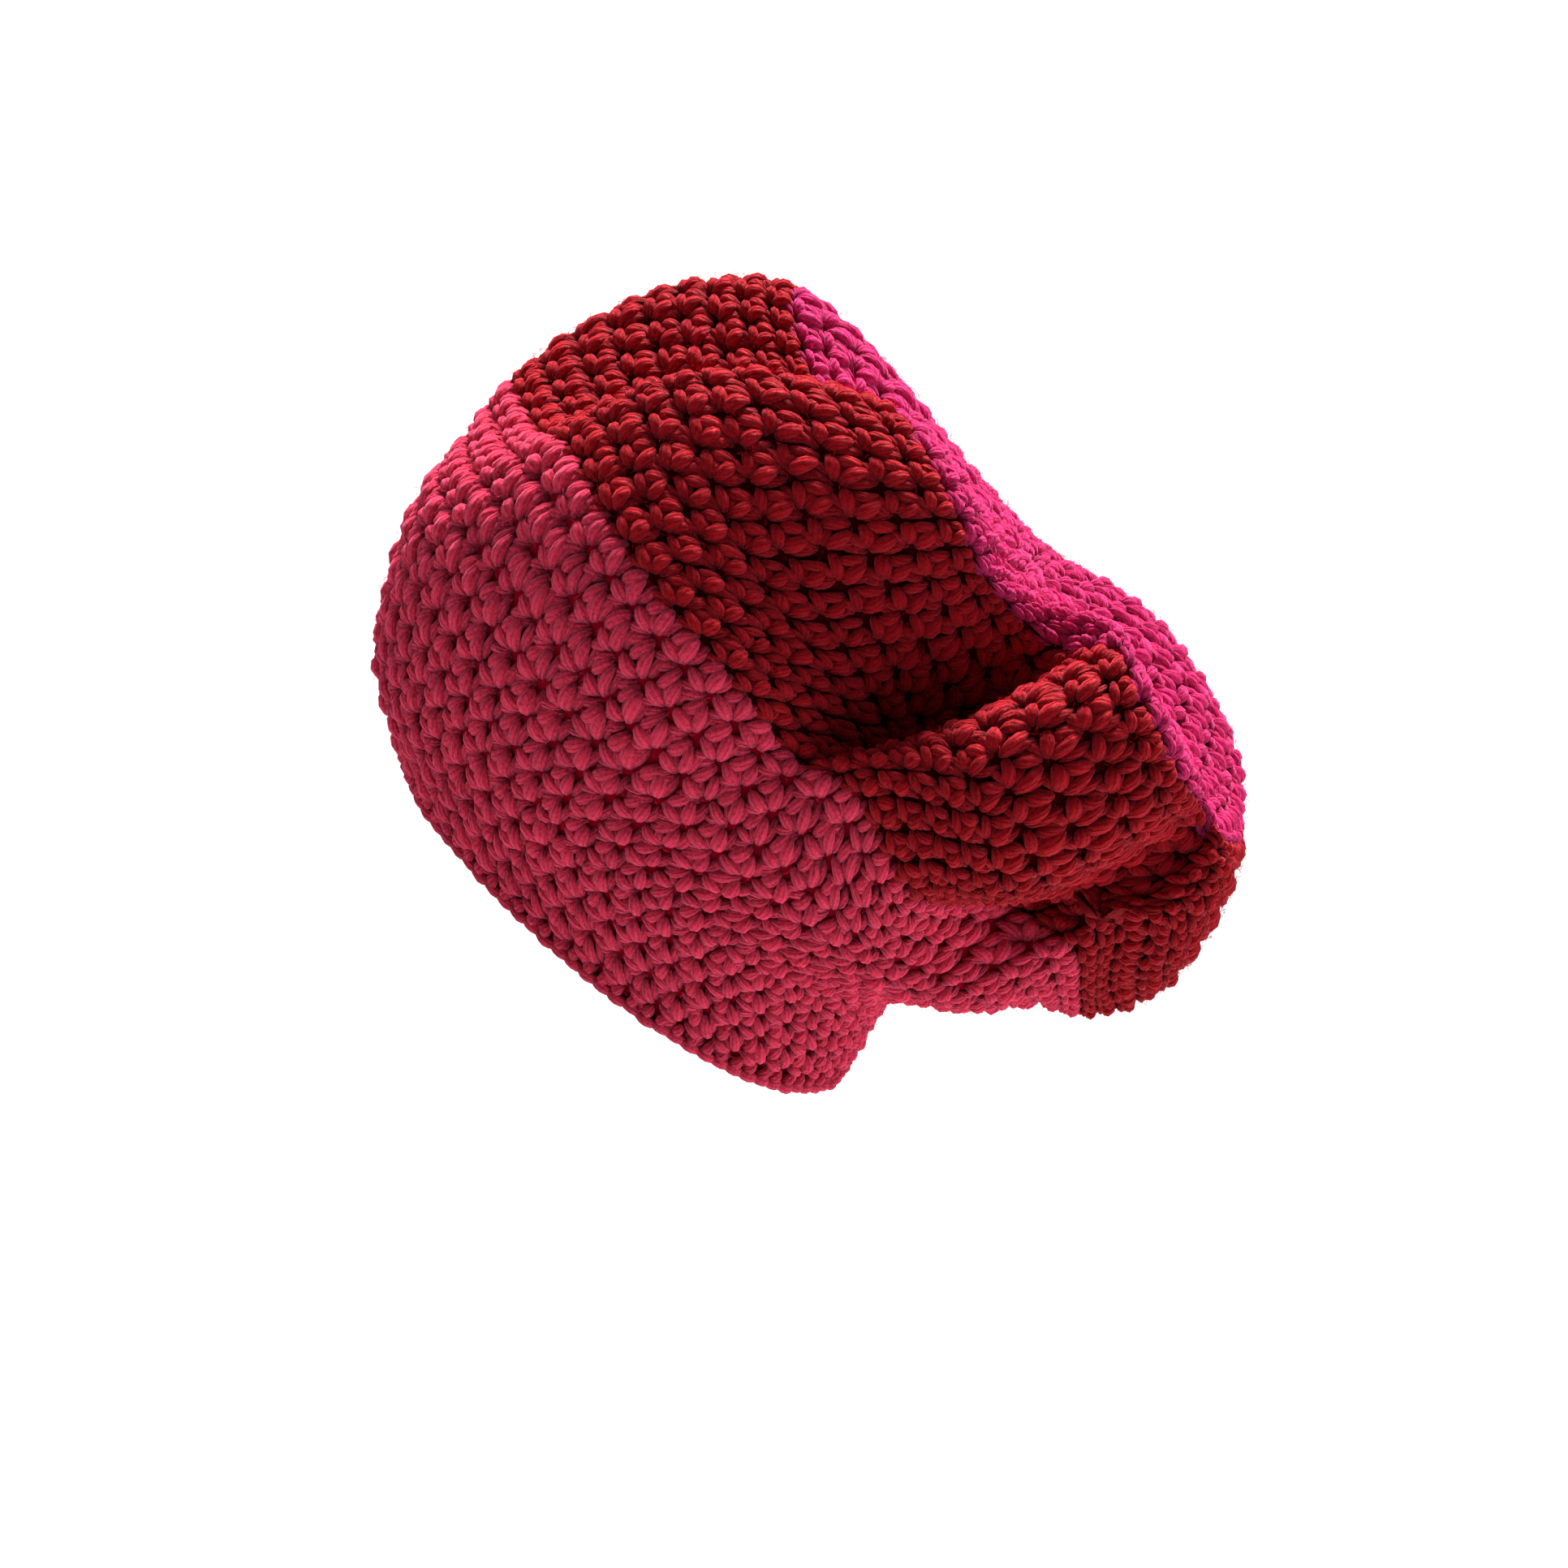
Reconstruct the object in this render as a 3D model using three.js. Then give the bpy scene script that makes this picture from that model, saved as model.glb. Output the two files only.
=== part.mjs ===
// A slouchy crocheted beanie, as worn: a tilted oval opening, a wide bag that falls back
// behind the head, and the folds it falls into. Three colours of yarn, each its own wall:
// the lower band from the brim up, the middle band, and the crown that closes the bag.
// Millimetres. The wearer faces -Y, +X is the wearer's left and +Z is up. The origin is
// the middle of the opening.
import * as THREE from 'three';

// Driving sizes
const BRIM_DEPTH = 213;     // opening, forehead edge to nape edge, over the outside
const BRIM_WIDTH = 168;     // opening, side to side, over the outside
const BAG_DEPTH = 335;      // fullest section, top of the forehead to the hanging back
const BAG_WIDTH = 238;      // fullest section, side to side
const BAG_REACH = 153;      // the crown's middle lies this far behind the opening's middle
const BAG_RISE = 144;       // and this far above it
const WALL = 7;             // thickness of the crocheted fabric
const SEAM_GAP = 0.3;       // clearance between one colour and the next
const LIP_ROUND = 2.5;      // how far the brim's rounded lip stands out past its edge

// Shares of the way from the brim, 0, to the middle of the crown, 1
const SEAM = 0.37;          // pink changes to red
const BELLY = 0.50;         // the deepest folds
const RIM = 0.64;           // red changes to magenta
const FOLDS_START = 0.24;   // below this the fabric follows the head
const FOLDS_END = 1.00;     // and at the middle of the crown they are gone

// How much narrower the opening is at the forehead than at the back of the head
const FOREHEAD_TAPER = 0.18;
const TAPER_START = 0.05;

// Facets
const COLUMNS = 80;
const LOWER_RINGS = 13;
const MIDDLE_RINGS = 11;
const CROWN_RINGS = 11;
const FIT_STEPS = 1440;     // samples that space the columns evenly
const NORMAL_PASSES = 10;   // rounds of smoothing for the direction of the wall's thickness

// Sections across the bag.
// at: share of the way up; back, up: the section's middle, shares of BAG_REACH and BAG_RISE
// tilt: degrees from level, the nape end lower; turn: degrees, the wearer's left towards the crown
// deep, wide: share of the swell from the brim's size to the bag's; close: gathers towards the crown
const SECTIONS = [
  { at: 0.00, back: 0.000, up: 0.000, tilt: 36.8, turn: 0, deep: 0.00, wide: 0.00, close: 1.000 },
  { at: 0.05, back: 0.012, up: 0.134, tilt: 35.5, turn: 0, deep: 0.13, wide: 0.11, close: 1.000 },
  { at: 0.10, back: 0.022, up: 0.255, tilt: 35.5, turn: 0, deep: 0.23, wide: 0.26, close: 1.000 },
  { at: 0.16, back: 0.067, up: 0.376, tilt: 37.3, turn: 1, deep: 0.34, wide: 0.49, close: 1.000 },
  { at: 0.25, back: 0.224, up: 0.486, tilt: 42.6, turn: 3, deep: 0.71, wide: 0.80, close: 1.000 },
  { at: 0.37, back: 0.433, up: 0.606, tilt: 49.5, turn: 6, deep: 0.975, wide: 0.97, close: 1.000 },
  { at: 0.50, back: 0.693, up: 0.797, tilt: 54.3, turn: 4, deep: 1.00, wide: 1.00, close: 1.000 },
  { at: 0.64, back: 0.984, up: 0.996, tilt: 52.5, turn: 4, deep: 0.53, wide: 0.885, close: 1.000 },
  { at: 0.72, back: 1.011, up: 1.010, tilt: 52.8, turn: 2, deep: 0.53, wide: 0.885, close: 0.785 },
  { at: 0.84, back: 1.005, up: 1.003, tilt: 52.5, turn: 0, deep: 0.53, wide: 0.885, close: 0.450 },
  { at: 1.00, back: 1.000, up: 1.000, tilt: 52.5, turn: 0, deep: 0.53, wide: 0.885, close: 0.015 },
];

// Lines of the folds, brim to crown.
// at: degrees round the plain section, 0 at the wearer's left, 90 at the forehead
// seam, belly, rim: where the line runs in those three sections, as [across, along, lift],
// shares of half the section's width, half its depth and of BAG_WIDTH
const FOLDS = [
  { line: 'far side', at: -180,
    seam: [-1.00, 0.00, 0.00], belly: [-0.94, 0.00, 0.00], rim: [-0.89, -0.28, -0.02] },
  { line: 'far low', at: -148,
    seam: [-0.85, -0.52, 0.00], belly: [-0.84, -0.50, 0.00], rim: [-0.82, -0.67, 0.05] },
  { line: 'far back', at: -116,
    seam: [-0.44, -0.89, 0.00], belly: [-0.49, -0.91, 0.00], rim: [-0.49, -0.99, 0.05] },
  { line: 'bottom', at: -90,
    seam: [0.00, -1.05, -0.02], belly: [0.00, -1.08, -0.01], rim: [0.00, -1.01, 0.01] },
  { line: 'low roll', at: -72,
    seam: [0.34, -0.90, 0.04], belly: [0.40, -0.93, 0.04], rim: [0.31, -0.90, 0.01] },
  { line: 'under roll', at: -54,
    seam: [0.58, -0.71, 0.10], belly: [0.63, -0.72, 0.11], rim: [0.52, -0.78, 0.01] },
  { line: 'under crease', at: -38,
    seam: [0.49, -0.56, 0.06], belly: [0.56, -0.58, -0.01], rim: [0.54, -0.67, 0.02] },
  { line: 'roll front', at: -25,
    seam: [0.93, -0.29, 0.00], belly: [0.97, -0.36, -0.03], rim: [0.84, -0.48, 0.04] },
  { line: 'roll crest', at: -12,
    seam: [1.01, -0.02, 0.05], belly: [1.00, -0.08, 0.03], rim: [0.84, -0.20, 0.07] },
  { line: 'roll top', at: -3,
    seam: [0.97, 0.08, 0.04], belly: [0.84, 0.00, 0.03], rim: [0.70, -0.10, 0.07] },
  { line: 'pocket', at: 5,
    seam: [0.92, 0.13, 0.02], belly: [0.51, -0.12, -0.06], rim: [0.54, -0.07, -0.01] },
  { line: 'slope', at: 15,
    seam: [0.95, 0.31, 0.03], belly: [0.66, 0.13, -0.03], rim: [0.63, 0.17, -0.02] },
  { line: 'face', at: 34,
    seam: [0.84, 0.62, 0.03], belly: [0.71, 0.45, -0.01], rim: [0.66, 0.39, 0.01] },
  { line: 'near ridge', at: 64,
    seam: [0.41, 0.89, 0.04], belly: [0.39, 0.83, 0.04], rim: [0.37, 0.64, 0.02] },
  { line: 'top dent', at: 90,
    seam: [0.00, 0.89, -0.01], belly: [0.00, 0.73, -0.05], rim: [0.00, 0.75, -0.07] },
  { line: 'far ridge', at: 116,
    seam: [-0.55, 0.93, -0.03], belly: [-0.51, 0.90, -0.02], rim: [-0.45, 0.89, -0.03] },
  { line: 'far top', at: 148,
    seam: [-0.85, 0.52, 0.00], belly: [-0.77, 0.50, 0.00], rim: [-0.73, 0.25, -0.03] },
];

// Creases that run round the bag instead.
// at, spread: shares of the way up; from, to: degrees; pinch: share of the section drawn in
const ROUND_CREASES = [
  { crease: 'back tuck', at: 0.435, spread: 0.035, from: -90, to: -28, pinch: 0.06 },
];

const YARNS = {
  lower_band: { color: 0xc8405c, roughness: 0.9 },
  middle_band: { color: 0x7a1420, roughness: 0.85 },
  crown: { color: 0xdb3a78, roughness: 0.85 },
};

const radians = THREE.MathUtils.degToRad;
const smooth = (from, to, x) => THREE.MathUtils.smoothstep(x, from, to);

// The slope at each row is that of the parabola through it and its two neighbours.
function slopes(at, value) {
  return at.map((x, i) => {
    const below = Math.max(i - 1, 0);
    const above = Math.min(i + 1, at.length - 1);
    const left = i > below ? (value[i] - value[below]) / (x - at[below]) : null;
    const right = above > i ? (value[above] - value[i]) / (at[above] - x) : null;
    if (left === null) return right;
    if (right === null) return left;
    const share = (x - at[below]) / (at[above] - at[below]);
    return left * (1 - share) + right * share;
  });
}

// A smooth curve through the rows.
function curve(at, value, slope, x) {
  let i = at.length - 2;
  while (i > 0 && x < at[i]) i -= 1;
  const span = at[i + 1] - at[i];
  const t = THREE.MathUtils.clamp((x - at[i]) / span, 0, 1);
  const rise = t * t * (3 - 2 * t);
  const leave = t * (1 - t) * (1 - t) * span * slope[i];
  const arrive = t * t * (t - 1) * span * slope[i + 1];
  return value[i] * (1 - rise) + value[i + 1] * rise + leave + arrive;
}

const SECTION_AT = SECTIONS.map((row) => row.at);
const SECTION_CURVES = {};
for (const column of ['back', 'up', 'tilt', 'turn', 'deep', 'wide', 'close']) {
  const value = SECTIONS.map((row) => row[column]);
  SECTION_CURVES[column] = { value, slope: slopes(SECTION_AT, value) };
}

function sectionAt(share) {
  const read = (column) => {
    const { value, slope } = SECTION_CURVES[column];
    return curve(SECTION_AT, value, slope, share);
  };
  return {
    y: BAG_REACH * read('back'),
    z: BAG_RISE * read('up'),
    tilt: radians(read('tilt')),
    turn: radians(read('turn')),
    halfDepth: (BRIM_DEPTH + (BAG_DEPTH - BRIM_DEPTH) * read('deep')) * read('close') / 2,
    halfWidth: (BRIM_WIDTH + (BAG_WIDTH - BRIM_WIDTH) * read('wide')) * read('close') / 2,
  };
}

// Each fold line's offset from the plain oval, along the way up: none, seam, belly, rim, none.
const STATION_AT = [FOLDS_START, SEAM, BELLY, RIM, FOLDS_END];
const LINE_CURVES = FOLDS.map((row) => {
  const plain = [Math.cos(radians(row.at)), Math.sin(radians(row.at)), 0];
  return plain.map((start, axis) => {
    const value = [0, row.seam[axis] - start, row.belly[axis] - start, row.rim[axis] - start, 0];
    const slope = slopes(STATION_AT, value);
    slope[0] = 0;
    slope[slope.length - 1] = 0;
    return { value, slope };
  });
});

// The lines' offsets at one height, as closed curves over the angle.
function foldsAt(share) {
  const at = FOLDS.map((row) => row.at);
  const turnBefore = at.map((angle) => angle - 360);
  const turnAfter = at.map((angle) => angle + 360);
  const everyAt = [...turnBefore, ...at, ...turnAfter];
  const inside = THREE.MathUtils.clamp(share, FOLDS_START, FOLDS_END);
  return [0, 1, 2].map((axis) => {
    const once = LINE_CURVES.map((line) => {
      return curve(STATION_AT, line[axis].value, line[axis].slope, inside);
    });
    const value = [...once, ...once, ...once];
    return { at: everyAt, value, slope: slopes(everyAt, value) };
  });
}

// One section of the outside: a function from degrees to a point.
function outline(share) {
  const section = sectionAt(share);
  const folds = foldsAt(share);
  const taper = FOREHEAD_TAPER * (1 - smooth(TAPER_START, SEAM, share));
  const down = new THREE.Vector3(0, -Math.cos(section.tilt), Math.sin(section.tilt));
  const axis = new THREE.Vector3(0, Math.sin(section.tilt), Math.cos(section.tilt));
  return (degrees) => {
    const angle = radians(degrees);
    const [offAcross, offAlong, lift] = folds.map((f) => curve(f.at, f.value, f.slope, degrees));
    let across = Math.cos(angle) * (1 - taper * Math.sin(angle)) + offAcross;
    let along = Math.sin(angle) + offAlong;
    for (const crease of ROUND_CREASES) {
      const rise = (share - crease.at) / crease.spread;
      const middle = (crease.from + crease.to) / 2;
      const reach = (crease.to - crease.from) / 2;
      const away = Math.abs(degrees - middle) / reach;
      const pinch = crease.pinch * Math.exp(-rise * rise) * (1 - smooth(0.6, 1, away));
      across *= 1 - pinch;
      along *= 1 - pinch;
    }
    const side = section.halfWidth * across;
    const out = side * Math.sin(section.turn) + BAG_WIDTH * lift;
    return new THREE.Vector3(side * Math.cos(section.turn), section.y, section.z)
      .addScaledVector(down, section.halfDepth * along)
      .addScaledVector(axis, out);
  };
}

// Columns stand evenly along the folded belly, so the folds get their share of facets.
function evenColumns() {
  const point = outline(BELLY);
  const degrees = [];
  const length = [0];
  for (let i = 0; i <= FIT_STEPS; i += 1) degrees.push(-180 + 360 * i / FIT_STEPS);
  for (let i = 1; i <= FIT_STEPS; i += 1) {
    length.push(length[i - 1] + point(degrees[i]).distanceTo(point(degrees[i - 1])));
  }
  const columns = [];
  let i = 0;
  for (let column = 0; column < COLUMNS; column += 1) {
    const goal = length[FIT_STEPS] * column / COLUMNS;
    while (length[i + 1] < goal) i += 1;
    const share = (goal - length[i]) / (length[i + 1] - length[i]);
    columns.push(degrees[i] + share * (degrees[i + 1] - degrees[i]));
  }
  return columns;
}

// Shares of every ring of points. A ring at a colour change ends one band and starts the next.
function ringShares(from, to, rings) {
  return Array.from({ length: rings - 1 }, (unused, i) => from + (to - from) * i / (rings - 1));
}
const SHARES = [
  ...ringShares(0, SEAM, LOWER_RINGS),
  ...ringShares(SEAM, RIM, MIDDLE_RINGS),
  ...ringShares(RIM, 1, CROWN_RINGS),
  1,
];
const LOWER_END = LOWER_RINGS - 1;
const MIDDLE_END = LOWER_END + MIDDLE_RINGS - 1;
const LAST = SHARES.length - 1;

const COLUMN_DEGREES = evenColumns();
const outer = SHARES.map((share) => COLUMN_DEGREES.map(outline(share)));
const wrap = (column) => (column + COLUMNS) % COLUMNS;
const neighbour = (ring, step) => THREE.MathUtils.clamp(ring + step, 0, LAST);

// Upward direction along the fabric, and outward direction from it, at every point.
const upward = outer.map((row, ring) => row.map((point, column) => {
  return outer[neighbour(ring, 1)][column].clone().sub(outer[neighbour(ring, -1)][column]).normalize();
}));
let outward = outer.map((row, ring) => row.map((point, column) => {
  const along = row[wrap(column + 1)].clone().sub(row[wrap(column - 1)]);
  return upward[ring][column].clone().cross(along).normalize();
}));
for (let pass = 0; pass < NORMAL_PASSES; pass += 1) {
  outward = outward.map((row, ring) => row.map((direction, column) => {
    return direction.clone().multiplyScalar(2)
      .add(row[wrap(column + 1)]).add(row[wrap(column - 1)])
      .add(outward[neighbour(ring, 1)][column]).add(outward[neighbour(ring, -1)][column])
      .normalize();
  }));
}
const inner = outer.map((row, ring) => row.map((point, column) => {
  return point.clone().addScaledVector(outward[ring][column], -WALL);
}));

// Draws a ring back from the colour change, so that the next colour clears it.
function drawBack(rows, ring, distance) {
  return rows[ring].map((point, column) => {
    return point.clone().addScaledVector(upward[ring][column], distance);
  });
}
function rowsOf(rows, first, last, backFirst, backLast) {
  const part = rows.slice(first, last + 1);
  if (backFirst) part[0] = drawBack(rows, first, SEAM_GAP / 2);
  if (backLast) part[part.length - 1] = drawBack(rows, last, -SEAM_GAP / 2);
  return part;
}

// Joins rings into one closed skin, each facet cut along its shorter diagonal, so that the
// facing ends of two bands match. Without poles the last ring meets the first again.
function skin(rings, poles) {
  const positions = [];
  const index = [];
  for (const ring of rings) for (const point of ring) positions.push(point.x, point.y, point.z);
  const at = (ring, column) => (ring % rings.length) * COLUMNS + wrap(column);
  const apart = (a, b) => {
    const first = rings[Math.floor(a / COLUMNS)][a % COLUMNS];
    return first.distanceTo(rings[Math.floor(b / COLUMNS)][b % COLUMNS]);
  };
  const bands = poles ? rings.length - 1 : rings.length;
  for (let ring = 0; ring < bands; ring += 1) {
    for (let column = 0; column < COLUMNS; column += 1) {
      const a = at(ring, column);
      const b = at(ring, column + 1);
      const c = at(ring + 1, column + 1);
      const d = at(ring + 1, column);
      if (apart(a, c) <= apart(b, d)) index.push(a, c, b, a, d, c);
      else index.push(a, d, b, b, d, c);
    }
  }
  if (poles) {
    [rings[0], rings[rings.length - 1]].forEach((ring, end) => {
      const middle = ring.reduce((sum, point) => sum.add(point), new THREE.Vector3());
      middle.divideScalar(COLUMNS);
      const pole = positions.length / 3;
      positions.push(middle.x, middle.y, middle.z);
      const row = end === 0 ? 0 : rings.length - 1;
      for (let column = 0; column < COLUMNS; column += 1) {
        const from = at(row, column);
        const to = at(row, column + 1);
        if (end === 0) index.push(pole, from, to);
        else index.push(pole, to, from);
      }
    });
  }
  const geometry = new THREE.BufferGeometry();
  geometry.setAttribute('position', new THREE.Float32BufferAttribute(positions, 3));
  geometry.setIndex(index);
  geometry.computeVertexNormals();
  return geometry;
}

function piece(name, geometry) {
  const yarn = YARNS[name];
  const material = new THREE.MeshStandardMaterial({ ...yarn, metalness: 0 });
  const mesh = new THREE.Mesh(geometry, material);
  mesh.name = name;
  return mesh;
}

// The brim's lip is rounded: one more ring between the two faces, a little past the edge.
function brimLip() {
  return outer[0].map((point, column) => {
    return point.clone().lerp(inner[0][column], 0.5).addScaledVector(upward[0][column], -LIP_ROUND);
  });
}

function lowerBand() {
  const out = rowsOf(outer, 0, LOWER_END, false, true);
  const back = rowsOf(inner, 0, LOWER_END, false, true).reverse();
  return skin([...out, ...back, brimLip()], false);
}

function middleBand() {
  const out = rowsOf(outer, LOWER_END, MIDDLE_END, true, true);
  const back = rowsOf(inner, LOWER_END, MIDDLE_END, true, true).reverse();
  return skin([...out, ...back], false);
}

function crown() {
  const out = rowsOf(outer, MIDDLE_END, LAST, true, false).reverse();
  const back = rowsOf(inner, MIDDLE_END, LAST, true, false);
  return skin([...out, ...back].reverse(), true);
}

const hat = new THREE.Group();
hat.add(piece('lower_band', lowerBand()));
hat.add(piece('middle_band', middleBand()));
hat.add(piece('crown', crown()));

export default hat;
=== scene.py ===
# %% [markdown]
# # A slouchy crocheted beanie
# The real hat is one tube of thick yarn, worked in rounds from the brim and drawn shut at the
# back of a wide bag. The CAD model holds its walls as plain solids in three colours. This lesson
# dresses them: every stitch is a small group of fat yarn loops laid on the same folded surface.
# A displacement texture would be quicker, but it can't undercut, and the dark eye at the foot
# of each stitch is what makes crochet look like crochet.

import bpy
import numpy as np
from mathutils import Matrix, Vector


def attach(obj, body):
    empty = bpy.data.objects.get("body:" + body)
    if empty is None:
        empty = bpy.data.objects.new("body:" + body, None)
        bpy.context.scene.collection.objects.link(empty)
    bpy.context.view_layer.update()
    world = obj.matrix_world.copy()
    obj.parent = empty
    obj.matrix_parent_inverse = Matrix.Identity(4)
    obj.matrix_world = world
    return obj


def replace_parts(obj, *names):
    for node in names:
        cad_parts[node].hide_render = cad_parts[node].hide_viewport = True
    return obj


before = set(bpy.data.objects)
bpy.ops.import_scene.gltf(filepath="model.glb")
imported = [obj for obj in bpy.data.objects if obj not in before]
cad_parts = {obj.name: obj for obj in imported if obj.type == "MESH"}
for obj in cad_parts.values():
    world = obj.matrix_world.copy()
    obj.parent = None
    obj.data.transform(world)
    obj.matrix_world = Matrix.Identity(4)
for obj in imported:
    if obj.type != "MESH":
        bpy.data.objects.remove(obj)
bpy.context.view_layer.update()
MM = 0.001
chance = np.random.default_rng(7)

# %% [markdown]
# ## The hat's surface
# The fabric hangs in a few big folds: a dent along the top, a hollow face on the wearer's left,
# and a fat roll below it. It could be draped with a cloth simulation, but then the folds fall
# where they like. Here the surface is a function of two numbers, the degrees round the bag and
# the share of the way from brim to crown. Ovals in a table give the bag, and lines in a second
# table, each named for its fold, pull the ovals out of round. The sizes are the CAD model's own.

# %% Sizes and tables of the surface
BRIM_DEPTH, BRIM_WIDTH = 213, 168
BAG_DEPTH, BAG_WIDTH = 335, 238
BAG_REACH, BAG_RISE = 153, 144
SEAM, BELLY, RIM = 0.37, 0.50, 0.64
FOLDS_START, FOLDS_END = 0.24, 1.00
FOREHEAD_TAPER, TAPER_START = 0.18, 0.05

# at, back, up, tilt, turn, deep, wide, close
SECTIONS = np.array([
    [0.00, 0.000, 0.000, 36.8, 0, 0.000, 0.000, 1.000],
    [0.05, 0.012, 0.134, 35.5, 0, 0.130, 0.110, 1.000],
    [0.10, 0.022, 0.255, 35.5, 0, 0.230, 0.260, 1.000],
    [0.16, 0.067, 0.376, 37.3, 1, 0.340, 0.490, 1.000],
    [0.25, 0.224, 0.486, 42.6, 3, 0.710, 0.800, 1.000],
    [0.37, 0.433, 0.606, 49.5, 6, 0.975, 0.970, 1.000],
    [0.50, 0.693, 0.797, 54.3, 4, 1.000, 1.000, 1.000],
    [0.64, 0.984, 0.996, 52.5, 4, 0.530, 0.885, 1.000],
    [0.72, 1.011, 1.010, 52.8, 2, 0.530, 0.885, 0.785],
    [0.84, 1.005, 1.003, 52.5, 0, 0.530, 0.885, 0.450],
    [1.00, 1.000, 1.000, 52.5, 0, 0.530, 0.885, 0.015],
])
# at which degrees: across, along, lift at the seam, at the belly and at the rim
FOLDS = {
    "far side": (-180, [-1.00, 0.00, 0.00], [-0.94, 0.00, 0.00], [-0.89, -0.28, -0.02]),
    "far low": (-148, [-0.85, -0.52, 0.00], [-0.84, -0.50, 0.00], [-0.82, -0.67, 0.05]),
    "far back": (-116, [-0.44, -0.89, 0.00], [-0.49, -0.91, 0.00], [-0.49, -0.99, 0.05]),
    "bottom": (-90, [0.00, -1.05, -0.02], [0.00, -1.08, -0.01], [0.00, -1.01, 0.01]),
    "low roll": (-72, [0.34, -0.90, 0.04], [0.40, -0.93, 0.04], [0.31, -0.90, 0.01]),
    "under roll": (-54, [0.58, -0.71, 0.10], [0.63, -0.72, 0.11], [0.52, -0.78, 0.01]),
    "under crease": (-38, [0.49, -0.56, 0.06], [0.56, -0.58, -0.01], [0.54, -0.67, 0.02]),
    "roll front": (-25, [0.93, -0.29, 0.00], [0.97, -0.36, -0.03], [0.84, -0.48, 0.04]),
    "roll crest": (-12, [1.01, -0.02, 0.05], [1.00, -0.08, 0.03], [0.84, -0.20, 0.07]),
    "roll top": (-3, [0.97, 0.08, 0.04], [0.84, 0.00, 0.03], [0.70, -0.10, 0.07]),
    "pocket": (5, [0.92, 0.13, 0.02], [0.51, -0.12, -0.06], [0.54, -0.07, -0.01]),
    "slope": (15, [0.95, 0.31, 0.03], [0.66, 0.13, -0.03], [0.63, 0.17, -0.02]),
    "face": (34, [0.84, 0.62, 0.03], [0.71, 0.45, -0.01], [0.66, 0.39, 0.01]),
    "near ridge": (64, [0.41, 0.89, 0.04], [0.39, 0.83, 0.04], [0.37, 0.64, 0.02]),
    "top dent": (90, [0.00, 0.89, -0.01], [0.00, 0.73, -0.05], [0.00, 0.75, -0.07]),
    "far ridge": (116, [-0.55, 0.93, -0.03], [-0.51, 0.90, -0.02], [-0.45, 0.89, -0.03]),
    "far top": (148, [-0.85, 0.52, 0.00], [-0.77, 0.50, 0.00], [-0.73, 0.25, -0.03]),
}
TUCK = {"at": 0.435, "spread": 0.035, "from": -90, "to": -28, "pinch": 0.06}
print("fold lines:", len(FOLDS), "sections:", len(SECTIONS))

# %% Smooth curves through the tables
def ease(start, end, x):
    """0 before start, 1 after end, and 3 t^2 - 2 t^3 between them."""
    t = np.clip((x - start) / (end - start), 0, 1)
    return t * t * (3 - 2 * t)


def slopes(at, value):
    """The slope at each row: that of the parabola through it and its two neighbours."""
    gap = np.diff(at).reshape([-1] + [1] * (value.ndim - 1))
    rise = np.diff(value, axis=0) / gap
    inner = (rise[:-1] * gap[1:] + rise[1:] * gap[:-1]) / (gap[:-1] + gap[1:])
    return np.concatenate([rise[:1], inner, rise[-1:]])


def curve(at, value, slope, x):
    """A cubic between two rows that leaves each with its own slope."""
    i = np.clip(np.searchsorted(at, x, side="right") - 1, 0, len(at) - 2)
    shape = [-1] + [1] * (value.ndim - 1)
    span = (at[i + 1] - at[i]).reshape(shape)
    t = np.clip((x - at[i]).reshape(shape) / span, 0, 1)
    blend = ease(0, 1, t)
    bend = t * (1 - t) ** 2 * span * slope[i] + t * t * (t - 1) * span * slope[i + 1]
    return value[i] * (1 - blend) + value[i + 1] * blend + bend


# %% The surface itself
def fold_offsets(degrees, share):
    """How far the folds pull each point from the plain oval: across, along, lift."""
    at = np.array([row[0] for row in FOLDS.values()], float)
    plain = np.stack([np.cos(np.radians(at)), np.sin(np.radians(at)), 0 * at], -1)
    lines = np.array([row[1:] for row in FOLDS.values()]).transpose(1, 0, 2)
    value = np.concatenate([[0 * plain], lines - plain, [0 * plain]])
    stations = np.array([FOLDS_START, SEAM, BELLY, RIM, FOLDS_END])
    slope = slopes(stations, value)
    slope[[0, -1]] = 0
    here = curve(stations, value, slope, np.clip(share, FOLDS_START, FOLDS_END))
    around = np.concatenate([at - 360, at, at + 360])
    lines_here = np.concatenate([here] * 3, axis=1).transpose(1, 0, 2)
    pulled = curve(around, lines_here, slopes(around, lines_here), degrees)
    return pulled.transpose(1, 0, 2)


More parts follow.
